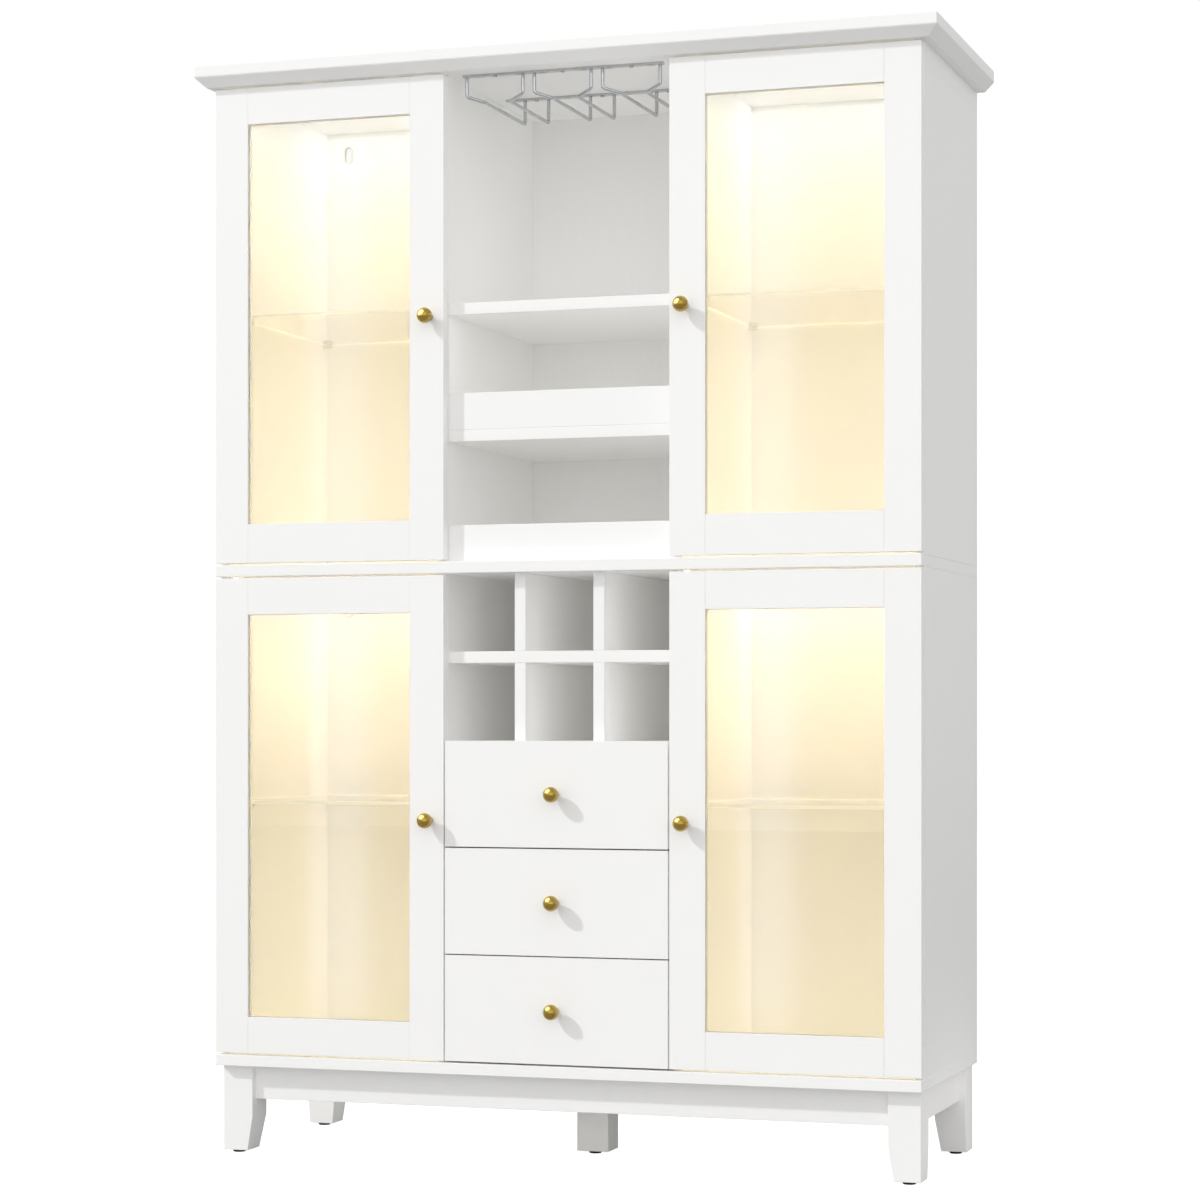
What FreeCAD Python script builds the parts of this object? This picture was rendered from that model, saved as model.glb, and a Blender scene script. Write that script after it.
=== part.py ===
import FreeCAD, Part
import os, math
from FreeCAD import Vector as V

os.makedirs("parts", exist_ok=True)

# ---------------------------------------------------------------- driving dimensions (mm)
body_w = 1136.0          # width over the side panels
body_d = 413.0           # door front to back
side_t = 15.0            # side panels and partitions
board_t = 18.0           # shelves, mid panel, base panel
gap = 3.0                # reveal around doors and drawers
door_t = 18.0
door_gap = 2.5           # door back to carcass front
door_h = 748.0
stile_w = 56.0
rail_w = 57.5
sill_w = 61.5            # bottom rail of the upper doors
back_t = 4.0
bay_half = 182.0         # half the clear width of the centre column
drawer_gap = 2.0         # reveal between drawer fronts
drawer_side_gap = 2.5    # reveal between a drawer front and the doors beside it

knob_r = 12.0
knob_out = 32.0          # knob front to door front

glide_h = 4.0
glide_set = 15.0                        # glide centre behind the foot's front face
leg_h = 135.0
leg_w = 50.0             # corner leg, side to side
leg_d = 54.0             # corner leg, front to back
leg_taper = 8.5          # what the inner faces lose towards the foot
centre_leg_w = 52.0
leg_taper_h = 53.0
leg_inset_x = 5.0
leg_inset_front = 19.0
leg_inset_back = 12.0
apron_h = 54.0
apron_t = 18.0
apron_inset = 11.7       # behind the legs' outer faces

ledge_x, ledge_y = 12.5, 7.0      # crown underside past the sides / past the door fronts
slant_run = 15.0
slant_h = 15.0
cap_t = 18.0

rack_wire_r = 2.75
rack_drop = 41.0
rack_bend = 33.0
rack_pitch = 110.7
hinge_swing_pin_e = 8.0  # hinge pin, in from the door's outer edge
hinge_swing_pin_d = 8.2  # hinge pin, behind the door's front face

# ---------------------------------------------------------------- derived levels
depth_all = body_d + knob_out
yf = -depth_all / 2 + knob_out          # door front plane
yb = depth_all / 2                      # back plane
yc = yf + door_t + door_gap             # carcass front plane
ybi = yb - back_t                       # inner face of the back panels
hw = body_w / 2
xi = hw - side_t                        # inner face of a side panel
xp = bay_half + side_t                  # outer face of a partition
z0 = glide_h + leg_h                    # underside of the base panel
zb1 = z0 + board_t
zl0 = zb1 + gap                         # lower doors and drawers
zl1 = zl0 + door_h
zm0 = zl1 + gap
zm1 = zm0 + board_t
zu0 = zm1 + gap                         # upper doors
zu1 = zu0 + door_h
zc = zu1 + gap                          # underside of the top


def box(x0, x1, y0, y1, za, zb):
    if x0 > x1:
        x0, x1 = x1, x0
    return Part.makeBox(x1 - x0, y1 - y0, zb - za, V(x0, y0, za))


def cyl(r, p, axis, length):
    return Part.makeCylinder(r, length, V(*p), V(*axis))


def mirror_x(s):
    return s.mirror(V(0, 0, 0), V(1, 0, 0))


def save(name, shapes):
    if not isinstance(shapes, (list, tuple)):
        shapes = [shapes]
    solids = []
    for s in shapes:
        solids.extend(s.Solids)
    shape = solids[0] if len(solids) == 1 else Part.makeCompound(solids)
    shape.exportStep("parts/%s.step" % name)


# ---------------------------------------------------------------- glass shelf levels, pins
shelf_rise = 395.0
shelf_glass_t = 5.0
shelf_z = {"upper": zm1 + shelf_rise, "lower": zb1 + shelf_rise}
pin_ys = (yc + 60.0, ybi - 14.0)
pin_r, pin_hole_r, pin_len, pin_hole_len = 2.5, 2.55, 9.0, 9.5
pad_x, pad_y, pad_z = 14.0, 9.0, 6.0


def pin_holes(level, x_face, into):
    out = []
    for y in pin_ys:
        out.append(cyl(pin_hole_r, (x_face, y, shelf_z[level] - pad_z / 2), (into, 0, 0), pin_hole_len))
    return out


# ---------------------------------------------------------------- carcass boards
save("base_panel", box(-hw, hw, yf, yb, z0, zb1))
save("mid_panel", box(-hw, hw, yf, yb, zm0, zm1))


def side_panel(s, level):
    za, zb = (zm1, zc) if level == "upper" else (zb1, zm0)
    p = box(s * xi, s * hw, yc, yb, za, zb)
    return p.cut(Part.makeCompound(pin_holes(level, s * xi, s)))


def partition(s, level):
    za, zb = (zm1, zc) if level == "upper" else (zb1, zm0)
    p = box(s * bay_half, s * xp, yc, ybi, za, zb)
    return p.cut(Part.makeCompound(pin_holes(level, s * xp, -s)))


for level in ("upper", "lower"):
    save(level + "_side_left", side_panel(-1, level))
    save(level + "_side_right", side_panel(1, level))
    save(level + "_partitions", [partition(-1, level), partition(1, level)])

# ---------------------------------------------------------------- top: panel, crown moulding, cap
mould_in = 8.0
mould_w = mould_in + ledge_x + slant_run
x_in = hw - mould_in
y_in = yf - ledge_y - slant_run + mould_w
zt0 = zc + slant_h
zt1 = zt0 + cap_t
x_lo, x_hi = hw + ledge_x, hw + ledge_x + slant_run
y_lo, y_hi = yf - ledge_y, yf - ledge_y - slant_run


def rect_wire(xa, xb, ya, yb_, z):
    return Part.makePolygon([V(xa, ya, z), V(xb, ya, z), V(xb, yb_, z), V(xa, yb_, z), V(xa, ya, z)])


ring = Part.makeLoft([rect_wire(-x_lo, x_lo, y_lo, yb, zc), rect_wire(-x_hi, x_hi, y_hi, yb, zt0)], True, True)
ring = ring.cut(box(-x_in, x_in, y_in, yb + 50, zc - 10, zt0 + 10))
wedge = Part.Face(Part.makePolygon([V(-x_in, y_in, zc - 5), V(x_in, y_in, zc - 5), V(x_in + 80, y_in - 80, zc - 5),
                                    V(-x_in - 80, y_in - 80, zc - 5), V(-x_in, y_in, zc - 5)])).extrude(V(0, 0, slant_h + 10))
save("crown_moulding", [ring.common(wedge), ring.cut(wedge)])
save("top_cap", box(-x_hi, x_hi, y_hi, yb, zt0, zt1))

# stemware rack fixing points
rack_y0, rack_y1 = yf + 36.0, yf + 230.0
strip_w, strip_t = 10.0, 3.5
rack_xs = (-rack_pitch, 0.0, rack_pitch)
screw_r, screw_hole_r = 1.75, 1.85

top = box(-x_in, x_in, y_in, yb, zc, zt0)
top = top.cut(Part.makeCompound([cyl(screw_hole_r, (x, y, zc), (0, 0, 1), 13.0) for x in rack_xs for y in (rack_y0, rack_y1)]))
save("top_panel", top)

# ---------------------------------------------------------------- back panels with oval cable holes
ov_x = hw - 54.0
ov_drop = 37.0


def stadium(cx, cz, w, h, ya, yb_):
    r = w / 2.0
    s = box(cx - r, cx + r, ya, yb_, cz - h / 2 + r, cz + h / 2 - r)
    s = s.fuse([cyl(r, (cx, ya, cz + h / 2 - r), (0, 1, 0), yb_ - ya), cyl(r, (cx, ya, cz - h / 2 + r), (0, 1, 0), yb_ - ya)])
    return s.removeSplitter()


grommets = []
for level, za, zb in (("upper", zm1, zc), ("lower", zb1, zm0)):
    p = box(-xi, xi, ybi, yb, za, zb)
    for s in (-1, 1):
        p = p.cut(stadium(s * ov_x, zb - ov_drop, 14.0, 28.0, ybi - 1, yb + 1))
        g = stadium(s * ov_x, zb - ov_drop, 17.0, 31.0, ybi - 1.5, ybi).fuse(stadium(s * ov_x, zb - ov_drop, 13.8, 27.8, ybi - 1.5, yb))
        g = g.cut(stadium(s * ov_x, zb - ov_drop, 11.4, 25.4, ybi - 3, yb + 3)).removeSplitter()
        grommets.append(g)
    save(level + "_back_panel", p)
save("cable_grommets", grommets)

# ---------------------------------------------------------------- centre column
sh1 = z0 + 1172.0
sh2 = z0 + 976.0
save("display_shelf", box(-bay_half, bay_half, yc, ybi, sh1, sh1 + board_t))
save("bottle_shelf", box(-bay_half, bay_half, yc, ybi, sh2, sh2 + board_t))
gal_h, gal_t = 57.0, 15.0
save("gallery_rails", [box(-bay_half, bay_half, yc, yc + gal_t, sh2 + board_t, sh2 + board_t + gal_h),
                       box(-bay_half, bay_half, yc, yc + gal_t, zm1, zm1 + gal_h)])

rack_floor = z0 + 513.5
cell = (zm0 - rack_floor - board_t) / 2
zs0 = rack_floor + cell
zs1 = zs0 + board_t
div_gap = (2 * bay_half - 2 * board_t) / 3
dx0 = div_gap / 2
dx1 = dx0 + board_t
y_half = (yc + ybi) / 2
lap = 0.1
shelf = box(-bay_half, bay_half, yc, ybi, zs0, zs1)
divs = []
for s in (-1, 1):
    shelf = shelf.cut(box(s * (dx0 - lap), s * (dx1 + lap), y_half, ybi + 5, zs0 - 5, zs1 + 5))
    d = box(s * dx0, s * dx1, yc, ybi, rack_floor, zm0)
    d = d.cut(box(s * (dx0 - 5), s * (dx1 + 5), yc - 5, y_half, zs0 - lap, zs1 + lap))
    divs.append(d)
save("wine_rack_shelf", shelf)
save("wine_rack_dividers", divs)
save("wine_rack_floor", box(-bay_half, bay_half, yc, ybi, rack_floor - board_t, rack_floor))

# ---------------------------------------------------------------- stemware rack
strip_z = zc - strip_t


def bent_wire(points, r, bend):
    pts = [V(*p) for p in points]
    edges = []
    start = pts[0]
    for i in range(1, len(pts) - 1):
        a = (pts[i - 1] - pts[i]).normalize()
        b = (pts[i + 1] - pts[i]).normalize()
        ang = a.getAngle(b)
        t = bend / math.tan(ang / 2)
        p1 = pts[i] + a * t
        p2 = pts[i] + b * t
        bis = (a + b).normalize()
        c = pts[i] + bis * (bend / math.sin(ang / 2))
        mid = c - bis * bend
        edges.append(Part.LineSegment(start, p1).toShape())
        edges.append(Part.Arc(p1, mid, p2).toShape())
        start = p2
    edges.append(Part.LineSegment(start, pts[-1]).toShape())
    path = Part.Wire(edges)
    d = (pts[1] - pts[0]).normalize()
    prof = Part.Wire([Part.Circle(pts[0], d, r).toShape()])
    return path.makePipeShell([prof], True, True)


wires = []
for cx in rack_xs:
    for s in (-1, 1):
        wires.append(bent_wire([(cx + s * 46, rack_y0, strip_z), (cx + s * 46, rack_y0, zc - rack_bend), (cx + s * 20, rack_y0 + 14, zc - rack_drop),
                                (cx + s * 20, rack_y1, zc - rack_drop), (cx + s * 20, rack_y1, strip_z)], rack_wire_r, 5.0))
strips = []
for y in (rack_y0, rack_y1):
    st = box(-162, 162, y - strip_w / 2, y + strip_w / 2, strip_z, zc)
    st = st.cut(Part.makeCompound([cyl(screw_hole_r, (x, y, strip_z - 1), (0, 0, 1), strip_t + 2) for x in rack_xs]))
    strips.append(st)
save("stemware_rack", wires + strips)
screws = []
for x in rack_xs:
    for y in (rack_y0, rack_y1):
        head = cyl(3.4, (x, y, strip_z - 1.8), (0, 0, 1), 1.8)
        head = head.makeFillet(0.9, [e for e in head.Edges if abs(e.BoundBox.ZMax - (strip_z - 1.8)) < 1e-6])
        screws.append(head.fuse(cyl(screw_r, (x, y, strip_z - 0.5), (0, 0, 1), 13.0)).removeSplitter())
save("rack_screws", screws)

# ---------------------------------------------------------------- base: legs, aprons, glides
lx1 = hw - leg_inset_x
lx0 = lx1 - leg_w
fy0 = yf + leg_inset_front
ry1 = yb - leg_inset_back
foot_w, foot_d = leg_w - leg_taper, leg_d - leg_taper


def corner_leg(sx, front):
    ya, yb_ = (fy0, fy0 + leg_d) if front else (ry1 - leg_d, ry1)
    up = box(lx0, lx1, ya, yb_, glide_h + leg_taper_h, z0)
    w1 = rect_wire(lx0, lx1, ya, yb_, glide_h + leg_taper_h)
    if front:
        w0 = rect_wire(lx0 + leg_taper, lx1, ya, yb_ - leg_taper, glide_h)
    else:
        w0 = rect_wire(lx0 + leg_taper, lx1, ya + leg_taper, yb_, glide_h)
    leg = up.fuse(Part.makeLoft([w0, w1], True, True)).removeSplitter()
    return leg if sx > 0 else mirror_x(leg)


save("corner_legs", [corner_leg(s, f) for s in (-1, 1) for f in (True, False)])
cy = (yf + yb) / 2
cl = centre_leg_w / 2
save("centre_leg", box(-cl, cl, cy - cl, cy + cl, glide_h, z0))
za = z0 - apron_h
ap_x = lx1 - apron_inset
save("base_aprons", [box(-lx0, lx0, fy0 + apron_inset, fy0 + apron_inset + apron_t, za, z0),
                     box(-lx0, lx0, ry1 - apron_inset - apron_t, ry1 - apron_inset, za, z0),
                     box(-ap_x, -ap_x + apron_t, fy0 + leg_d, ry1 - leg_d, za, z0),
                     box(ap_x - apron_t, ap_x, fy0 + leg_d, ry1 - leg_d, za, z0)])
glides = []
gx = lx1 - foot_w / 2
gf, gr = fy0 + glide_set, ry1 - foot_d + glide_set
for x, y in ((-gx, gf), (gx, gf), (-gx, gr), (gx, gr), (0, cy - cl + glide_set)):
    g = cyl(10.0, (x, y, 0), (0, 0, 1), glide_h)
    glides.append(g.makeChamfer(1.0, [e for e in g.Edges if e.BoundBox.ZMax < 1e-6]))
save("floor_glides", glides)

# ---------------------------------------------------------------- glass shelves, pins, LED bars
glass, pins, profiles, diffusers = [], [], [], []
led_y = yc + 20.0
for level, ceil in (("upper", zc), ("lower", zm0)):
    zs = shelf_z[level]
    for s in (-1, 1):
        glass.append(box(s * (xp + 1.5), s * (xi - 1.5), yf + 45, ybi - 2.0, zs, zs + shelf_glass_t))
        for face, d in ((s * xi, s), (s * xp, -s)):
            for y in pin_ys:
                pad = box(face, face - d * pad_x, y - pad_y / 2, y + pad_y / 2, zs - pad_z, zs)
                pins.append(pad.fuse(cyl(pin_r, (face - d * 1.0, y, zs - pad_z / 2), (d, 0, 0), pin_len + 1.0)).removeSplitter())
        xa, xb = s * (xp + 5), s * (xi - 5)
        prof = box(xa, xb, led_y, led_y + 17, ceil - 8, ceil).cut(box(xa, xb, led_y + 1.2, led_y + 15.8, ceil - 9, ceil - 1.2))
        profiles.append(prof)
        diffusers.append(box(xa, xb, led_y + 1.2, led_y + 15.8, ceil - 7.5, ceil - 6.0))
save("glass_shelves", glass)
save("shelf_pins", pins)
save("led_profiles", profiles)
save("led_diffusers", diffusers)


# ---------------------------------------------------------------- knob with its screw
def knob(x, z):
    k = Part.makeSphere(knob_r, V(x, yf - knob_out + knob_r, z))
    k = k.fuse([cyl(4.2, (x, yf, z), (0, -1, 0), 14.0), cyl(6.5, (x, yf, z), (0, -1, 0), 1.6)])
    k = k.cut(cyl(2.1, (x, yf, z), (0, -1, 0), 12.0)).removeSplitter()
    s = cyl(2.0, (x, yf + door_t - 1.0, z), (0, -1, 0), door_t + 8.0).fuse(cyl(4.0, (x, yf + door_t - 0.4, z), (0, -1, 0), 2.2))
    return [k, s.removeSplitter()]


def knob_bore(x, z):
    return cyl(2.2, (x, yf - 1, z), (0, 1, 0), door_t + 2).fuse(cyl(4.4, (x, yf + door_t - 2.6, z), (0, 1, 0), 4.0))


# ---------------------------------------------------------------- concealed hinge
pe, pd = hinge_swing_pin_e, hinge_swing_pin_d
cup_e, cup_r, cup_w, cup_d = 20.5, 17.5, 1.0, 13.5
hinge_end = 100.0


def ebox(s, e0, e1, d0, d1, z, hz):
    return box(s * (hw - e0), s * (hw - e1), yf + d0, yf + d1, z - hz, z + hz)


def hinge_cup(s, z):
    x = s * (hw - cup_e)
    c = cyl(cup_r, (x, yf + door_t - cup_d, z), (0, 1, 0), cup_d)
    fl = ebox(s, 9.0, 32.0, door_t, door_t + 1.0, z, 28.0)
    fl = fl.makeFillet(5.0, [e for e in fl.Edges if abs(e.BoundBox.YLength - 1.0) < 1e-6])
    c = c.fuse(fl).cut(cyl(cup_r - cup_w, (x, yf + door_t - cup_d + cup_w, z), (0, 1, 0), cup_d + 5))
    c = c.fuse(cyl(1.5, (s * (hw - pe), yf + pd, z - 11.1), (0, 0, 1), 22.2))
    return c.removeSplitter()


def cup_bore(s, z):
    return cyl(cup_r + 0.1, (s * (hw - cup_e), yf + door_t - cup_d - 0.1, z), (0, 1, 0), cup_d + 5)


def hinge_arm(s, z):
    px, py = s * (hw - pe), yf + pd
    a = cyl(2.3, (px, py, z - 5), (0, 0, 1), 10.0)
    a = a.fuse([ebox(s, pe, 23.3, 7.4, 9.0, z, 5.0), ebox(s, 21.5, 23.3, 7.4, 75.0, z, 5.0)])
    a = a.cut(cyl(1.55, (px, py, z - 6), (0, 0, 1), 12.0)).removeSplitter()
    p = ebox(s, 15.0, 21.5, 30.0, 72.0, z, 8.0).fuse(ebox(s, 15.0, 17.0, 38.0, 56.0, z, 20.0)).removeSplitter()
    return [a, p]


# ---------------------------------------------------------------- doors
knob_edge = 23.5
lip_t, lip_w, pane_t = 8.0, 10.0, 4.0
arms = []
for side, s in (("left", -1), ("right", 1)):
    for level, d0, d1, kz in (("upper", zu0, zu1, z0 + 1168.0), ("lower", zl0, zl1, z0 + 391.0)):
        name = "%s_%s_door" % (level, side)
        # outer edge, stile inner edges, inner edge
        xo, xa, xb, xn = s * hw, s * (hw - stile_w), s * (bay_half + stile_w), s * bay_half
        oz0, oz1 = d0 + (sill_w if level == "upper" else rail_w), d1 - rail_w
        blank = box(xo, xn, yf, yf + door_t, d0, d1)
        blank = blank.cut(box(xa, xb, yf - 1, yf + door_t + 1, oz0, oz1))
        blank = blank.cut(box(xa + s * lip_w, xb - s * lip_w, yf + lip_t, yf + door_t + 1, oz0 - lip_w, oz1 + lip_w))
        hz = (d0 + hinge_end, d1 - hinge_end)
        for z in hz:
            blank = blank.cut(cup_bore(s, z))
        kx = s * (bay_half + knob_edge)
        blank = blank.cut(knob_bore(kx, kz))
        ch = Part.Face(Part.makePolygon([V(xo, yf + door_t - 2, d0 - 1), V(xo, yf + door_t, d0 - 1), V(xo - s * 2, yf + door_t, d0 - 1),
                                         V(xo, yf + door_t - 2, d0 - 1)])).extrude(V(0, 0, door_h + 2))
        blank = blank.cut(ch)
        mids = box(xa, xb, yf - 1, yf + door_t + 1, d0 - 1, d1 + 1)
        pieces = [blank.cut(mids), blank.common(mids)]
        # glazing beads: two long, two short
        bx0, bx1 = xa + s * lip_w, xb - s * lip_w
        by0, by1 = yf + lip_t + pane_t, yf + door_t
        pieces += [box(bx0, xa, by0, by1, oz0 - lip_w, oz1 + lip_w), box(bx1, xb, by0, by1, oz0 - lip_w, oz1 + lip_w),
                   box(xa, xb, by0, by1, oz0 - lip_w, oz0), box(xa, xb, by0, by1, oz1, oz1 + lip_w)]
        save(name + "_frame", pieces)
        save(name + "_glass", box(bx0 - s * 1.0, bx1 + s * 1.0, yf + lip_t, by0, oz0 - lip_w + 1, oz1 + lip_w - 1))
        save(name + "_knob", knob(kx, kz))
        save(name + "_hinge_cups", [hinge_cup(s, z) for z in hz])
        for z in hz:
            arms += hinge_arm(s, z)
save("hinge_arms", arms)

# ---------------------------------------------------------------- drawers
front_half = bay_half - drawer_side_gap
front_h = (rack_floor + 0.5 - zl0 - 2 * drawer_gap) / 3
bs_t, bs_h, bx_len = 12.0, 120.0, 352.0
box_half = bay_half - 13.0
ch_h, ch_t = 35.0, 1.2
channels = []
for i, name in enumerate(("bottom", "middle", "top")):
    f0 = zl0 + i * (front_h + drawer_gap)
    f1 = f0 + front_h
    kz = (f0 + f1) / 2
    name += "_drawer"
    fr = box(-front_half, front_half, yf, yf + door_t, f0, f1).cut(knob_bore(0, kz))
    save(name + "_front", fr)
    ys, ye = yf + door_t, yf + door_t + bx_len
    b0, b1 = f0 + 18.0, f0 + 18.0 + bs_h
    xin = box_half - bs_t
    save(name + "_box", [box(-box_half, -xin, ys, ye, b0, b1), box(xin, box_half, ys, ye, b0, b1),
                         box(-xin, xin, ye - bs_t, ye, b0 + 12, b1), box(-xin, xin, ys, ye, b0 + 8, b0 + 12)])
    save(name + "_knob", knob(0, kz))
    zr = b0 + 45.0
    runners = []
    for s in (-1, 1):
        r = box(s * box_half, s * (box_half + 1.2), ys + 4, ys + 349, zr - 13, zr + 13)
        r = r.fuse([box(s * box_half, s * (box_half + 10.3), ys + 4, ys + 349, zr - 13, zr - 11.8),
                    box(s * box_half, s * (box_half + 10.3), ys + 4, ys + 349, zr + 11.8, zr + 13)]).removeSplitter()
        runners.append(r)
        c = box(s * bay_half, s * (bay_half - ch_t), yc + 2, yc + 352, zr - ch_h / 2, zr + ch_h / 2)
        c = c.fuse([box(s * bay_half, s * (bay_half - 10.5), yc + 2, yc + 352, zr - ch_h / 2, zr - ch_h / 2 + ch_t),
                    box(s * bay_half, s * (bay_half - 10.5), yc + 2, yc + 352, zr + ch_h / 2 - ch_t, zr + ch_h / 2)]).removeSplitter()
        channels.append(c)
    save(name + "_runners", runners)
save("drawer_channels", channels)
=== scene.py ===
import math
import bmesh
import bpy
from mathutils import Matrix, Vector


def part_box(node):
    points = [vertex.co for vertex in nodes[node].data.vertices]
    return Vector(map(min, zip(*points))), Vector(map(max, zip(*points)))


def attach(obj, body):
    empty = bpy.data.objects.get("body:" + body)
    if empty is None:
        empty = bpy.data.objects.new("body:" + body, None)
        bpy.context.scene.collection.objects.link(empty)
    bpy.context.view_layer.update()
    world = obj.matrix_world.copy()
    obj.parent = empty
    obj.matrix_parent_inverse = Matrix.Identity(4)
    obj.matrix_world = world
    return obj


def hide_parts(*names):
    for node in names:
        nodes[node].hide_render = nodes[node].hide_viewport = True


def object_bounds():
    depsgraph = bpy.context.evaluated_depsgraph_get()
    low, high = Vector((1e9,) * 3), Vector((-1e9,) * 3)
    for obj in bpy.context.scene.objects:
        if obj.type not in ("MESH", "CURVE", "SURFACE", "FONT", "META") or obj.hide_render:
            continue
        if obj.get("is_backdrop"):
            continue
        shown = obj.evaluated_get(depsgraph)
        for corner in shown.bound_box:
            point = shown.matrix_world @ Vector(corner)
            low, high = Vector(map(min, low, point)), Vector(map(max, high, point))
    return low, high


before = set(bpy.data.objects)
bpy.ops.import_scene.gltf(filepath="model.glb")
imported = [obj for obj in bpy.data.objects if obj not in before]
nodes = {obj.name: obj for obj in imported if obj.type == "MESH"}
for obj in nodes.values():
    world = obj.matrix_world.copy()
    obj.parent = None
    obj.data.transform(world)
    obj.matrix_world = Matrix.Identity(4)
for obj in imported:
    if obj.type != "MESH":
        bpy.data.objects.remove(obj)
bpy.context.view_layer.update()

scene = bpy.context.scene
mm = 0.001

# ------------------------------------------------------------------ levels of the cabinet (m)
hw, bay_half, side_t = 568 * mm, 182 * mm, 15 * mm
yf, yc, yb, ybi = -190.5 * mm, -170 * mm, 222.5 * mm, 218.5 * mm
xi, xp = hw - side_t, bay_half + side_t
z0, zb1, zl0, zl1, zm0, zm1, zu0, zu1, zc = [v * mm for v in (139, 157, 160, 908, 911, 929, 932, 1680, 1683)]
door_t, stile_w, rail_w, sill_w, lip_t, lip_w, pane_t = [v * mm for v in (18, 56, 57.5, 61.5, 8, 10, 4)]


# ------------------------------------------------------------------ node helpers
class Mat:
    """One surface finish, its grain and cloudiness laid out in the piece's own coordinates."""

    def __init__(self, name):
        self.m = bpy.data.materials.new(name)
        self.m.use_nodes = True
        self.nt = self.m.node_tree
        self.nt.nodes.clear()
        self.out = self.add("ShaderNodeOutputMaterial")
        self.bs = self.add("ShaderNodeBsdfPrincipled")
        self.link(self.bs.outputs[0], self.out.inputs["Surface"])
        self.tc = self.add("ShaderNodeTexCoord")

    def add(self, kind):
        return self.nt.nodes.new(kind)

    def link(self, a, b):
        self.nt.links.new(a, b)

    def set(self, **kw):
        for k, v in kw.items():
            self.bs.inputs[k.replace("_", " ")].default_value = v
        return self

    def vec(self, scale=(1, 1, 1), rot=(0, 0, 0)):
        mp = self.add("ShaderNodeMapping")
        mp.inputs["Scale"].default_value = scale
        mp.inputs["Rotation"].default_value = rot
        self.link(self.tc.outputs["Object"], mp.inputs["Vector"])
        return mp.outputs[0]

    def noise(self, scale, detail=2.0, rough=0.5, vec=None, distort=0.0):
        n = self.add("ShaderNodeTexNoise")
        n.inputs["Scale"].default_value = scale
        n.inputs["Detail"].default_value = detail
        n.inputs["Roughness"].default_value = rough
        n.inputs["Distortion"].default_value = distort
        self.link(vec or self.vec(), n.inputs["Vector"])
        return n.outputs["Fac"]

    def voronoi(self, scale, vec=None, out="Distance", feature="F1"):
        n = self.add("ShaderNodeTexVoronoi")
        n.feature = feature
        n.inputs["Scale"].default_value = scale
        self.link(vec or self.vec(), n.inputs["Vector"])
        return n.outputs[out]

    def ramp(self, fac, *stops):
        r = self.add("ShaderNodeValToRGB")
        el = r.color_ramp.elements
        while len(el) < len(stops):
            el.new(0.5)
        for e, (p, c) in zip(el, stops):
            e.position = p
            e.color = (*c, 1) if not isinstance(c, (int, float)) else (c, c, c, 1)
        self.link(fac, r.inputs["Fac"])
        return r.outputs["Color"]

    def span(self, v, lo, hi, a=0.3, b=0.7):
        r = self.add("ShaderNodeMapRange")
        for i, x in enumerate((a, b, lo, hi)):
            r.inputs[i + 1].default_value = x
        self.link(v, r.inputs[0])
        return r.outputs[0]

    def math(self, op, a, b):
        n = self.add("ShaderNodeMath")
        n.operation = op
        for i, x in enumerate((a, b)):
            if isinstance(x, (int, float)):
                n.inputs[i].default_value = x
            else:
                self.link(x, n.inputs[i])
        return n.outputs[0]

    def bump(self, height, strength, distance, under=None):
        b = self.add("ShaderNodeBump")
        b.inputs["Strength"].default_value = strength
        b.inputs["Distance"].default_value = distance
        self.link(height, b.inputs["Height"])
        if under is not None:
            self.link(under, b.inputs["Normal"])
        return b.outputs[0]

    def colour(self, c):
        self.link(c, self.bs.inputs["Base Color"])

    def rough(self, r):
        self.link(r, self.bs.inputs["Roughness"])

    def normal(self, n):
        self.link(n, self.bs.inputs["Normal"])


def lacquer(name, dark, light, r0, r1, peel, mottle=2.6):
    m = Mat(name)
    m.set(Specular_IOR_Level=0.5, IOR=1.48)
    m.colour(m.ramp(m.noise(mottle, 4, 0.55), (0.3, dark), (0.7, light)))
    m.rough(m.span(m.noise(34, 3, 0.6), r0, r1))
    fine = m.bump(m.noise(1500, 1, 0.4), peel * 0.5, 0.0002)
    m.normal(m.bump(m.noise(260, 2, 0.45), peel, 0.0003, fine))
    return m.m


def foil(name, dark, light, r0, r1, scale, depth):
    """Printed paper or foil face: faint lengthwise fibres under a satin film."""
    m = Mat(name)
    m.set(Specular_IOR_Level=0.5, IOR=1.46)
    fib = m.noise(1.0, 5, 0.62, m.vec(scale), 0.4)
    m.colour(m.ramp(fib, (0.28, dark), (0.72, light)))
    m.rough(m.span(m.noise(22, 2, 0.5), r0, r1))
    m.normal(m.bump(fib, depth, 0.0002, m.bump(m.noise(900, 1, 0.5), depth * 0.6, 0.0002)))
    return m.m


def metal(name, dark, light, r0, r1, scale, depth, mottle=60):
    """Plated or turned metal: fine drawn lines and a little cloudiness in the plating."""
    m = Mat(name)
    m.set(Metallic=1.0)
    drawn = m.noise(1.0, 3, 0.6, m.vec(scale))
    m.colour(m.ramp(m.noise(mottle, 3, 0.55), (0.3, dark), (0.7, light)))
    m.rough(m.span(drawn, r0, r1))
    m.normal(m.bump(drawn, depth, 0.0001))
    return m.m


white = lacquer("white_lacquer", (0.964, 0.962, 0.955), (0.975, 0.973, 0.967), 0.36, 0.44, 0.035)
inner = foil("white_back", (0.895, 0.893, 0.884), (0.915, 0.913, 0.905), 0.40, 0.48, (340, 340, 14), 0.04)
drawer = foil("white_foil", (0.815, 0.812, 0.800), (0.852, 0.850, 0.840), 0.42, 0.52, (160, 9, 160), 0.06)

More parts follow.
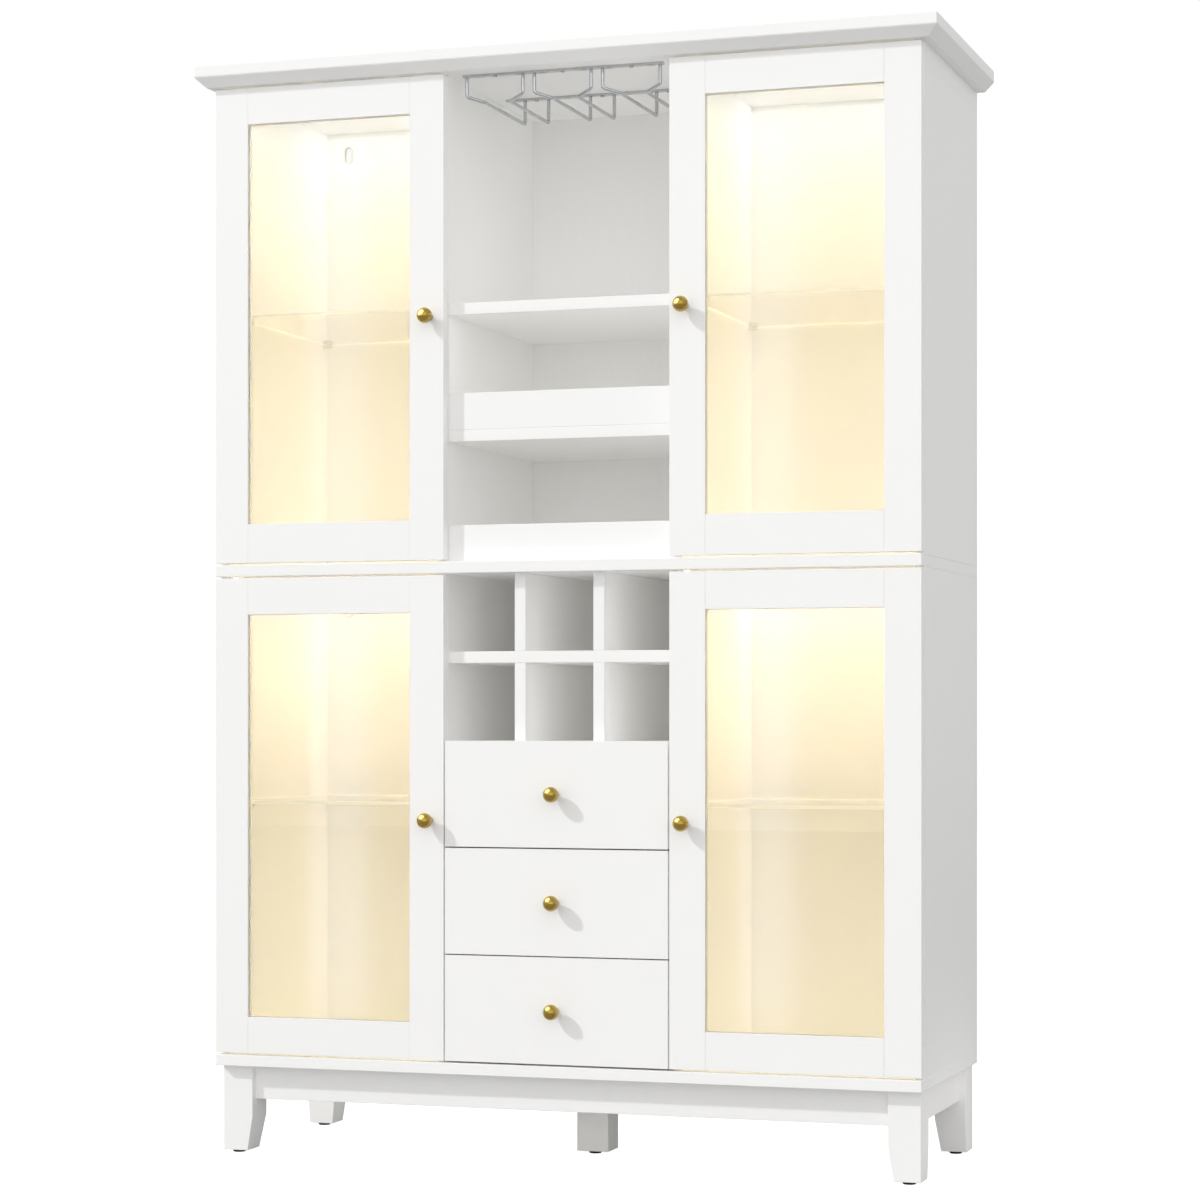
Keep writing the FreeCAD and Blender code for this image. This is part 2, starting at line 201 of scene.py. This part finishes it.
def float_glass(name, dark, light):
    m = Mat(name)
    m.set(Transmission_Weight=1.0, IOR=1.5, Roughness=0.0)
    m.colour(m.ramp(m.noise(3, 2, 0.5), (0.3, dark), (0.7, light)))
    m.normal(m.bump(m.noise(4, 1, 0.5), 0.002, 0.001))
    return m


# panes: the room's light loses a part on its way in
pane_glass = float_glass("clear_float_glass", (0.938, 0.946, 0.939), (0.948, 0.955, 0.948))
through = pane_glass.add("ShaderNodeBsdfTransparent")
through.inputs[0].default_value = (0.35, 0.35, 0.33, 1.0)
way = pane_glass.add("ShaderNodeLightPath")
passed = pane_glass.add("ShaderNodeMixShader")
pane_glass.link(way.outputs["Is Shadow Ray"], passed.inputs[0])
pane_glass.link(pane_glass.bs.outputs[0], passed.inputs[1])
pane_glass.link(through.outputs[0], passed.inputs[2])
pane_glass.link(passed.outputs[0], pane_glass.out.inputs["Surface"])
glass = pane_glass.m

# shelves: the same glass, with finely ground edges
shelf = float_glass("ground_glass_painted_edge_glow", (0.978, 0.984, 0.979), (0.985, 0.990, 0.986))
edge = shelf.add("ShaderNodeBsdfPrincipled")
edge.inputs["Roughness"].default_value = 0.45
# painted light: the ground edges get a warm emission, a painted glow standing in for lamp light carried through the
# sheet
edge.inputs["Emission Color"].default_value = (1.0, 0.90, 0.62, 1.0)
edge.inputs["Emission Strength"].default_value = 0.6
ground = shelf.ramp(shelf.noise(900, 2, 0.5), (0.3, (0.92, 0.94, 0.91)), (0.7, (0.96, 0.975, 0.95)))
grit = shelf.bump(shelf.noise(1400, 2, 0.5), 0.10, 0.0002)
shelf.link(ground, edge.inputs["Base Color"])
shelf.link(grit, edge.inputs["Normal"])
lit = shelf.add("ShaderNodeBsdfTranslucent")
shelf.link(ground, lit.inputs["Color"])
shelf.link(grit, lit.inputs["Normal"])
milky = shelf.add("ShaderNodeMixShader")
milky.inputs[0].default_value = 0.6
shelf.link(edge.outputs[0], milky.inputs[1])
shelf.link(lit.outputs[0], milky.inputs[2])
face = shelf.add("ShaderNodeNewGeometry")
axis = shelf.add("ShaderNodeSeparateXYZ")
shelf.link(face.outputs["True Normal"], axis.inputs[0])
# this mask puts the painted edge glow, with the ground-edge finish, on the side faces of each shelf
rim = shelf.math("LESS_THAN", shelf.math("ABSOLUTE", axis.outputs["Z"], 0.0), 0.95)
both = shelf.add("ShaderNodeMixShader")
shelf.link(rim, both.inputs[0])
shelf.link(shelf.bs.outputs[0], both.inputs[1])
shelf.link(milky.outputs[0], both.inputs[2])
shelf.link(both.outputs[0], shelf.out.inputs["Surface"])
shelf = shelf.m

brass = Mat("satin_brass_gold")
brass.set(Metallic=1.0, Coat_Weight=0.8, Coat_Roughness=0.22, Coat_IOR=1.52)
brass.colour(brass.ramp(brass.noise(240, 3, 0.6), (0.3, (0.38, 0.250, 0.030)), (0.7, (0.46, 0.305, 0.042))))
turned = brass.noise(1.0, 2, 0.5, brass.vec((900, 5200, 900)))
brass.rough(brass.span(turned, 0.19, 0.27))
brass.normal(brass.bump(turned, 0.05, 0.0001))
brass = brass.m

nickel = metal("nickel_plate", (0.74, 0.725, 0.690), (0.84, 0.825, 0.790), 0.20, 0.32, (300, 300, 2200), 0.05)
chrome = metal("chrome_wire", (0.52, 0.53, 0.545), (0.61, 0.62, 0.635), 0.07, 0.13, (1400, 180, 1400), 0.03, 90)
alu = metal("anodised_aluminium", (0.70, 0.70, 0.705), (0.78, 0.78, 0.785), 0.30, 0.42, (14, 2600, 2600), 0.06)

zinc = Mat("zinc_plate")
zinc.set(Metallic=1.0)
spangle = zinc.voronoi(420, out="Color")
zinc.colour(zinc.ramp(zinc.noise(110, 3, 0.6), (0.3, (0.52, 0.54, 0.57)), (0.7, (0.66, 0.675, 0.70))))
zinc.rough(zinc.span(spangle, 0.26, 0.44, 0.0, 1.0))
zinc.normal(zinc.bump(zinc.noise(1.0, 2, 0.5, zinc.vec((2600, 30, 2600))), 0.06, 0.0001))
zinc = zinc.m


def plastic(name, dark, light, r0, r1, grain):
    m = Mat(name)
    m.set(Specular_IOR_Level=0.5)
    m.colour(m.ramp(m.noise(120, 3, 0.6), (0.3, dark), (0.7, light)))
    m.rough(m.span(m.noise(400, 2, 0.5), r0, r1))
    m.normal(m.bump(m.voronoi(1900), grain, 0.0002))
    return m.m


black_plastic = plastic("black_plastic", (0.004, 0.004, 0.004), (0.010, 0.010, 0.010), 0.50, 0.64, 0.20)
white_plastic = plastic("white_plastic", (0.70, 0.68, 0.61), (0.76, 0.74, 0.67), 0.34, 0.46, 0.12)

# opal diffuser, brighter in front of each diode
led = Mat("led_opal")
led.set(Roughness=0.5, Emission_Strength=9.0)
dots = led.voronoi(1.0, led.vec((60, 0.001, 0.001)))
glow = led.ramp(dots, (0.0, (1.0, 0.90, 0.66)), (0.5, (0.95, 0.76, 0.46)))
led.colour(led.ramp(led.noise(300, 2), (0.3, (0.86, 0.84, 0.78)), (0.7, (0.90, 0.88, 0.83))))
led.link(glow, led.bs.inputs["Emission Color"])
led = led.m

SLOT_MAT = {"white_board": white, "back_board": inner, "drawer_board": drawer, "clear_glass": glass,
            "satin_brass": brass, "nickel_plate": nickel, "zinc_steel": zinc, "chrome_wire": chrome,
            "black_plastic": black_plastic, "white_plastic": white_plastic, "led_aluminium": alu, "led_diffuser": led}
node_slot = {}
for n, o in nodes.items():
    for s in o.material_slots:
        key = s.material.name.split(".")[0]
        node_slot[n] = key
        s.material = shelf if n == "glass_shelves" else SLOT_MAT[key]


# ------------------------------------------------------------------ softened edges on the boards
def ease(node, width, segs=2):
    """Rounds a board's arrises; the board itself stays as it is."""
    o = nodes[node]
    w = o.modifiers.new("join", "WELD")
    w.merge_threshold = 1e-5
    d = o.modifiers.new("flat", "DECIMATE")
    d.decimate_type = "DISSOLVE"
    d.angle_limit = math.radians(0.5)
    b = o.modifiers.new("arris", "BEVEL")
    b.width = width * mm
    b.segments = segs
    b.limit_method = "ANGLE"
    b.angle_limit = math.radians(40)
    b.miter_outer = "MITER_SHARP"
    n = o.modifiers.new("shade", "WEIGHTED_NORMAL")
    n.weight = 100
    n.keep_sharp = False


for n in ("base_panel", "mid_panel"):
    ease(n, 1.2, 3)
for n in ("upper_side_left", "upper_side_right", "lower_side_left", "lower_side_right"):
    ease(n, 1.5, 3)
for n in ("upper_partitions", "lower_partitions"):
    ease(n, 0.7)
for n in ("display_shelf", "bottle_shelf", "wine_rack_floor", "wine_rack_shelf", "wine_rack_dividers", "gallery_rails"):
    ease(n, 0.8)
for n in ("bottom_drawer_front", "middle_drawer_front", "top_drawer_front", "corner_legs", "centre_leg", "base_aprons"):
    ease(n, 1.0, 3)
ease("top_cap", 1.6, 3)
ease("glass_shelves", 0.6, 2)


def put(name, mesh, body, mat, slot, *stands_for):
    o = bpy.data.objects.new(name, mesh)
    scene.collection.objects.link(o)
    if mat is not None:
        mesh.materials.clear()
        mesh.materials.append(mat)
    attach(o, body)
    if stands_for:
        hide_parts(*stands_for)
    return o


def soften(node, body, split, width, segs=2, keep_round=40, trim=None, crisp=None):
    """A new piece with the node's shape, its boards taken apart at their joints and each arris rounded."""
    src = nodes[node].data
    groups = {}
    for p in src.polygons:
        groups.setdefault(split(p.center - p.normal * 0.0002), []).append(p)
    whole = bmesh.new()
    for key in sorted(groups):
        bm = bmesh.new()
        made = {}
        for p in groups[key]:
            vs = []
            for i in p.vertices:
                if i not in made:
                    made[i] = bm.verts.new(src.vertices[i].co)
                vs.append(made[i])
            bm.faces.new(vs)
        bmesh.ops.remove_doubles(bm, verts=bm.verts, dist=2e-6)
        if trim:
            trim(key, bm)
        bmesh.ops.dissolve_limit(bm, angle_limit=math.radians(0.4), verts=bm.verts, edges=bm.edges)
        sharp = [e for e in bm.edges if len(e.link_faces) == 2 and e.calc_face_angle(0) > math.radians(keep_round)
                 and not (crisp and crisp(e))]
        bmesh.ops.bevel(bm, geom=sharp, offset=width * mm, segments=segs, profile=0.5, affect="EDGES", clamp_overlap=True)
        for f in bm.faces:
            f.smooth = True
        part = bpy.data.meshes.new("tmp")
        bm.to_mesh(part)
        bm.free()
        whole.from_mesh(part)
        bpy.data.meshes.remove(part)
    me = bpy.data.meshes.new(node + "_eased")
    whole.to_mesh(me)
    whole.free()
    o = put(node + "_eased", me, body, SLOT_MAT[node_slot[node]], node_slot[node], node)
    n = o.modifiers.new("shade", "WEIGHTED_NORMAL")
    n.weight = 100
    n.keep_sharp = False
    return o


def door_split(s, d0, d1, sill):
    a, b = hw - stile_w, bay_half + stile_w
    e0, e1 = d0 + sill, d1 - rail_w
    mid = (d0 + d1) / 2

    def split(p):
        u = s * p.x
        if p.y > yf + lip_t + pane_t and b - lip_w < u < a + lip_w and e0 - lip_w < p.z < e1 + lip_w:
            return "bead_o" if u > a else "bead_n" if u < b else "bead_t" if p.z > mid else "bead_b"
        return "stile_o" if u > a else "stile_n" if u < b else "rail_t" if p.z > mid else "rail_b"

    def trim(key, bm):
        """The joint between rail and stile shows as a hairline."""
        if key.startswith("rail"):
            for v in bm.verts:
                u = s * v.co.x
                if abs(u - a) < 1e-5:
                    v.co.x = s * (a - 0.16 * mm)
                elif abs(u - b) < 1e-5:
                    v.co.x = s * (b + 0.16 * mm)

    return split, trim


def pane(door, s, d0, d1, sill):
    """The glass in two closed bodies: the clear field of the opening, and its rim inside the rebate."""
    a, b = hw - stile_w, bay_half + stile_w
    y0, y1 = yf + lip_t, yf + lip_t + pane_t
    lo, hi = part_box(door + "_glass")
    e0, e1, t = d0 + sill, d1 - rail_w, 0.06 * mm
    x0, x1 = min(s * a, s * b), max(s * a, s * b)
    cells = [(x0 + t, x1 - t, e0 + t, e1 - t), (lo.x, x0 - t, lo.z, hi.z), (x1 + t, hi.x, lo.z, hi.z),
             (x0, x1, lo.z, e0 - t), (x0, x1, e1 + t, hi.z)]
    bm = bmesh.new()
    for i, (xa, xb, za, zb) in enumerate(cells):
        part = bmesh.new()
        bmesh.ops.create_cube(part, size=1.0)
        for v in part.verts:
            v.co = Vector((xa if v.co.x < 0 else xb, y0 + 0.02 * mm if v.co.y < 0 else y1 - 0.02 * mm, za if v.co.z < 0 else zb))
        bmesh.ops.bevel(part, geom=part.edges[:], offset=0.12 * mm if i == 0 else 0.5 * mm, segments=1, profile=0.5, affect="EDGES")
        me = bpy.data.meshes.new("tmp")
        part.to_mesh(me)
        part.free()
        bm.from_mesh(me)
        bpy.data.meshes.remove(me)
    me = bpy.data.meshes.new(door + "_pane")
    bm.to_mesh(me)
    bm.free()
    o = put(door + "_pane", me, door, glass, "clear_glass", door + "_glass")


for level, d0, d1 in (("upper", zu0, zu1), ("lower", zl0, zl1)):
    for side, s in (("left", -1), ("right", 1)):
        door = "%s_%s_door" % (level, side)
        sill = sill_w if level == "upper" else rail_w
        split, trim = door_split(s, d0, d1, sill)
        soften(door + "_frame", door, split, 0.7, trim=trim, crisp=lambda e: all(abs(v.co.y - yf - lip_t) < 1e-5 for v in e.verts))
        pane(door, s, d0, d1, sill)

x_in = hw - 8 * mm
y_in = yf - 7 * mm - 15 * mm + 35.5 * mm


def crown_split(p):
    if p.y < y_in and abs(p.x) < x_in + (y_in - p.y):
        return "front"
    return "left" if p.x < 0 else "right"


soften("crown_moulding", "carcass", crown_split, 0.7)


def box_split(p):
    if abs(p.x) > 159 * mm:
        return "left" if p.x < 0 else "right"
    return "back" if p.y > yf + door_t + 340 * mm else "bottom"


for name in ("bottom", "middle", "top"):
    soften(name + "_drawer_box", name + "_drawer", box_split, 0.5)


# ------------------------------------------------------------------ ball knobs, turned
def lathe(profile, centre, axis, turns=72):
    """Revolves (radius, distance) pairs about an axis through centre."""
    bm = bmesh.new()
    ax = Vector(axis).normalized()
    u = ax.orthogonal().normalized()
    v = ax.cross(u)
    rings = []
    for r, d in profile:
        base = Vector(centre) + ax * d
        if r < 1e-7:
            rings.append([bm.verts.new(base)])
        else:
            rings.append([bm.verts.new(base + (u * math.cos(2 * math.pi * i / turns) + v * math.sin(2 * math.pi * i / turns)) * r) for i in range(turns)])
    for a, b in zip(rings, rings[1:]):
        for i in range(turns):
            j = (i + 1) % turns
            q = [a[i % len(a)], a[j % len(a)], b[j % len(b)], b[i % len(b)]]
            q = [x for k, x in enumerate(q) if x not in q[:k]]
            if len(q) > 2:
                bm.faces.new(q)
    bmesh.ops.recalc_face_normals(bm, faces=bm.faces)
    for f in bm.faces:
        f.smooth = True
    return bm


def knob_profile():
    p = [(0.0, 0.05), (6.3, 0.05), (6.5, 0.25), (6.5, 1.15), (6.36, 1.45), (6.05, 1.6)]
    # cove from the rosette into the neck
    for i in range(1, 9):
        t = math.pi / 2 * i / 8
        p.append((6.05 - 1.75 * math.sin(t), 1.6 + 1.9 * (1 - math.cos(t))))
    p += [(4.2, 4.6), (4.15, 6.2)]
    # small throat where the neck runs into the ball
    for i in range(0, 5):
        t = i / 4
        p.append((4.15 + 0.75 * t * t, 7.2 + 1.85 * t))
    a0 = math.asin(4.95 / 12.0)
    for i in range(1, 41):
        a = a0 + (math.pi - a0) * i / 40
        p.append((12.0 * math.sin(a), 20.0 - 12.0 * math.cos(a)))
    p[-1] = (0.0, 32.0)
    return [(r * mm, d * mm) for r, d in p]


def screw_profile():
    p = [(0.0, 0.0), (3.4, 0.0), (3.8, 0.25), (4.0, 0.7), (4.0, 1.3), (3.85, 1.75), (3.4, 2.0), (2.0, 2.15), (1.6, 1.5), (0.0, 1.1)]
    return [(r * mm, d * mm) for r, d in p]


def knob(node, body, x, z):
    bm = lathe(knob_profile(), (x, yf, z), (0, -1, 0))
    sc = lathe(screw_profile(), (x, yf + door_t - 2.6 * mm, z), (0, 1, 0), 40)
    me = bpy.data.meshes.new("tmp")
    sc.to_mesh(me)
    sc.free()
    bm.from_mesh(me)
    bpy.data.meshes.remove(me)
    me = bpy.data.meshes.new(node + "_turned")
    bm.to_mesh(me)
    bm.free()
    return put(node + "_turned", me, body, brass, "satin_brass", node)


knobs = []
for level in ("upper", "lower"):
    for side in ("left", "right"):
        door = "%s_%s_door" % (level, side)
        lo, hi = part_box(door + "_knob")
        knobs.append(knob(door + "_knob", door, (lo.x + hi.x) / 2, (lo.z + hi.z) / 2))
for name in ("bottom", "middle", "top"):
    lo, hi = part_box(name + "_drawer_front")
    knobs.append(knob(name + "_drawer_knob", name + "_drawer", 0.0, (lo.z + hi.z) / 2))

# the lamps shine through the shelves
nodes["glass_shelves"].visible_shadow = False

# ------------------------------------------------------------------ floor
bm = bmesh.new()
bmesh.ops.create_grid(bm, x_segments=24, y_segments=24, size=14.0)
me = bpy.data.meshes.new("floor")
bm.to_mesh(me)
bm.free()
floor = bpy.data.objects.new("floor", me)
scene.collection.objects.link(floor)
floor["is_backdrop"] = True
f = Mat("pale_floor")
f.set(Roughness=0.8)
f.colour(f.ramp(f.noise(1.3, 3), (0.3, (0.44, 0.44, 0.438)), (0.7, (0.46, 0.46, 0.458))))
bright = f.add("ShaderNodeEmission")
bright.inputs["Strength"].default_value = 1.0
f.link(f.ramp(f.noise(0.9, 2), (0.3, (0.955, 0.955, 0.955)), (0.7, (0.965, 0.965, 0.965))), bright.inputs["Color"])
both = f.add("ShaderNodeAddShader")
f.link(f.bs.outputs[0], both.inputs[0])
f.link(bright.outputs[0], both.inputs[1])
seen = f.add("ShaderNodeLightPath")
lit = f.add("ShaderNodeMixShader")
plainly = f.math("LESS_THAN", f.math("ADD", seen.outputs["Diffuse Depth"], seen.outputs["Glossy Depth"]), 0.5)
f.link(f.math("MAXIMUM", seen.outputs["Is Camera Ray"], f.math("MULTIPLY", seen.outputs["Is Transmission Ray"], plainly)), lit.inputs[0])
f.link(f.bs.outputs[0], lit.inputs[1])
f.link(both.outputs[0], lit.inputs[2])
f.link(lit.outputs[0], f.out.inputs["Surface"])
me.materials.append(f.m)

# ------------------------------------------------------------------ light
AROUND, FRONT, KEY = 0.71, 0.86, 1.28
world = bpy.data.worlds.new("studio")
scene.world = world
world.use_nodes = True
nt = world.node_tree
nt.nodes.clear()
out = nt.nodes.new("ShaderNodeOutputWorld")
soft = nt.nodes.new("ShaderNodeBackground")
soft.inputs["Color"].default_value = (1.0, 0.998, 0.993, 1)
# even light all round with a broad soft source in front
where = nt.nodes.new("ShaderNodeTexCoord")
toward = nt.nodes.new("ShaderNodeVectorMath")
toward.operation = "DOT_PRODUCT"
toward.inputs[1].default_value = Vector((0.31, -0.95, 0.05)).normalized()
nt.links.new(where.outputs["Generated"], toward.inputs[0])
ahead = nt.nodes.new("ShaderNodeMath")
ahead.operation = "MAXIMUM"
ahead.inputs[1].default_value = 0.0
nt.links.new(toward.outputs["Value"], ahead.inputs[0])
lobe = nt.nodes.new("ShaderNodeMath")
lobe.operation = "POWER"
lobe.inputs[1].default_value = 5.0
nt.links.new(ahead.outputs[0], lobe.inputs[0])
level = nt.nodes.new("ShaderNodeMath")
level.operation = "MULTIPLY_ADD"
level.inputs[1].default_value = FRONT
level.inputs[2].default_value = AROUND
nt.links.new(lobe.outputs[0], level.inputs[0])
nt.links.new(level.outputs[0], soft.inputs["Strength"])
plain = nt.nodes.new("ShaderNodeBackground")
plain.inputs["Color"].default_value = (1, 1, 1, 1)
plain.inputs["Strength"].default_value = 1.05
pick = nt.nodes.new("ShaderNodeMixShader")
path = nt.nodes.new("ShaderNodeLightPath")
# plain white behind the cabinet, also where it is seen through glass
def wmath(op, a, b):
    n = nt.nodes.new("ShaderNodeMath")
    n.operation = op
    for i, x in enumerate((a, b)):
        if isinstance(x, float):
            n.inputs[i].default_value = x
        else:
            nt.links.new(x, n.inputs[i])
    return n.outputs[0]


straight = wmath("LESS_THAN", wmath("ADD", path.outputs["Diffuse Depth"], path.outputs["Glossy Depth"]), 0.5)
through = wmath("MULTIPLY", path.outputs["Is Transmission Ray"], straight)
nt.links.new(wmath("MAXIMUM", path.outputs["Is Camera Ray"], through), pick.inputs[0])
nt.links.new(soft.outputs[0], pick.inputs[1])
nt.links.new(plain.outputs[0], pick.inputs[2])
nt.links.new(pick.outputs[0], out.inputs["Surface"])


def lamp(name, kind, **kw):
    d = bpy.data.lights.new(name, kind)
    for k, v in kw.items():
        setattr(d, k, v)
    o = bpy.data.objects.new(name, d)
    scene.collection.objects.link(o)
    return o


key = lamp("key", "SUN", energy=KEY, angle=math.radians(2.5), color=(1.0, 0.998, 0.992))
key.rotation_euler = Vector((1.3, 1.0, -1.2)).to_track_quat("-Z", "Y").to_euler()

# each glazed compartment: a broad warm glow under its ceiling, a paler wash near the back,
# a lift onto the ceiling, and a faint wash up each rear corner
def strip(name, power, tint, width, height, at, aim):
    a = lamp(name, "AREA", energy=power, color=tint, shape="RECTANGLE", size=width, size_y=height)
    a.location = at
    a.rotation_euler = Vector(aim).to_track_quat("-Z", "Y").to_euler()
    a.visible_camera = False
    a.visible_transmission = False
    a.visible_glossy = False
    a.data.cycles.use_multiple_importance_sampling = False
    return a


for level, floor_z, ceil, broad, tint, tight, near, side_on, up in (
        ("upper", zm1, zc, 0.728, (1.0, 0.745, 0.308), 0.193, (1.0, 0.924, 0.845), 0.040, 0.095),
        ("lower", zb1, zm0, 0.520, (1.0, 0.775, 0.298), 0.330, (1.0, 0.682, 0.455), 0.046, 0.045)):
    for side, s in (("left", -1), ("right", 1)):
        name, mid, half = "led_%s_%s_" % (level, side), s * (xp + xi) / 2, (xi - xp) / 2
        glow = strip(name + "glow", broad, tint, 0.30, 0.28, (mid, ybi - 0.19, ceil - 0.004), (0, 0, -1))
        glow.data.spread = math.radians(95)
        strip(name + "lift", up, (0.12, 0.5, 1.0), 0.30, 0.30, (mid, ybi - 0.19, ceil - 0.09), (0, 0, 1))
        strip(name + "wash", tight, near, 0.34, 0.04, (mid, ybi - 0.045, ceil - 0.004), (0, 0, -1))
        for edge, t in (("a", -1), ("b", 1)):
            strip(name + "corner_" + edge, side_on, (0.57, 0.71, 1.0), 0.02, ceil - floor_z - 0.05,
                  (mid + t * (half - 0.055), ybi - 0.055, (floor_z + ceil) / 2), (t, 1, 0))

# soft fill in the mouths of the centre column, and under the cabinet
fill = (1.0, 0.99, 0.975)
strip("fill_cells", 0.040, fill, 0.22, 0.25, (0.072, yc + 0.004, 0.768), (0, 1, 0))
strip("fill_bay", 0.040, fill, 0.36, 0.112, (0, yc + 0.004, 1.2515), (0, 1, 0))
strip("fill_low_bay", 0.014, fill, 0.36, 0.12, (0, yc + 0.004, 1.052), (0, 1, 0))
strip("fill_bar", 0.08, fill, 0.02, 0.32, (bay_half - 0.012, yc + 0.012, 1.51), (-1, 0.15, 0.12))
strip("fill_under", 0.056, (1.0, 0.93, 0.85), 1.0, 0.05, (0, yf + 0.085, 0.045), (0, 1, 0))
strip("fill_left_leg", 0.075, (1.0, 0.97, 0.94), 0.25, 0.06, (-0.42, yf + 0.19, 0.05), (-0.2, 1, 0))

strip("fill_right_leg", 0.075, (1.0, 0.98, 0.95), 0.40, 0.10, (0.70, 0.02, 0.075), (-1, 0, 0))

# glints on the chrome wires, from the wall beside them and from the front right
wires = bpy.data.collections.new("wires")
wires.objects.link(nodes["stemware_rack"])
for a in (strip("glint_side", 0.12, fill, 0.20, 0.10, (-bay_half + 0.014, yc + 0.10, 1.60), (1, 0, 0.1)),
          strip("glint_front", 2.2, fill, 0.6, 0.6, (1.25, -1.75, 1.25), (-1.25, 1.6, 0.35))):
    a.light_linking.receiver_collection = wires

# a softbox at the upper left that shows in the polished knobs
box_lamp = lamp("knob_softbox", "AREA", energy=112.0, color=(1.0, 0.985, 0.90), shape="RECTANGLE", size=2.4, size_y=2.2)
box_lamp.location = (-1.35, -1.05, 2.35)
box_lamp.rotation_euler = Vector((1.35, 0.95, -1.4)).to_track_quat("-Z", "Y").to_euler()
box_lamp.visible_camera = False
shiny = bpy.data.collections.new("knobs")
for o in knobs:
    shiny.objects.link(o)
box_lamp.light_linking.receiver_collection = shiny

# ------------------------------------------------------------------ camera
cam = bpy.data.cameras.new("camera")
cam.sensor_fit = "HORIZONTAL"
cam.sensor_width = 36.0
cam.lens = 90.992
cam.shift_x = 0.0
cam.shift_y = 0.10158
cam.clip_start = 0.05
cam.clip_end = 100
camera = bpy.data.objects.new("camera", cam)
scene.collection.objects.link(camera)
camera.location = (1.5193, -4.5498, 0.6843)
camera.rotation_euler = (math.radians(90), 0, math.radians(18.3624))
scene.camera = camera

scene.cycles.max_bounces = 24
scene.cycles.diffuse_bounces = 20
scene.cycles.glossy_bounces = 12
scene.cycles.transmission_bounces = 16

scene.view_settings.view_transform = "Standard"
scene.view_settings.look = "None"
scene.view_settings.exposure = 0.0
scene.view_settings.gamma = 1.0

lo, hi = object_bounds()
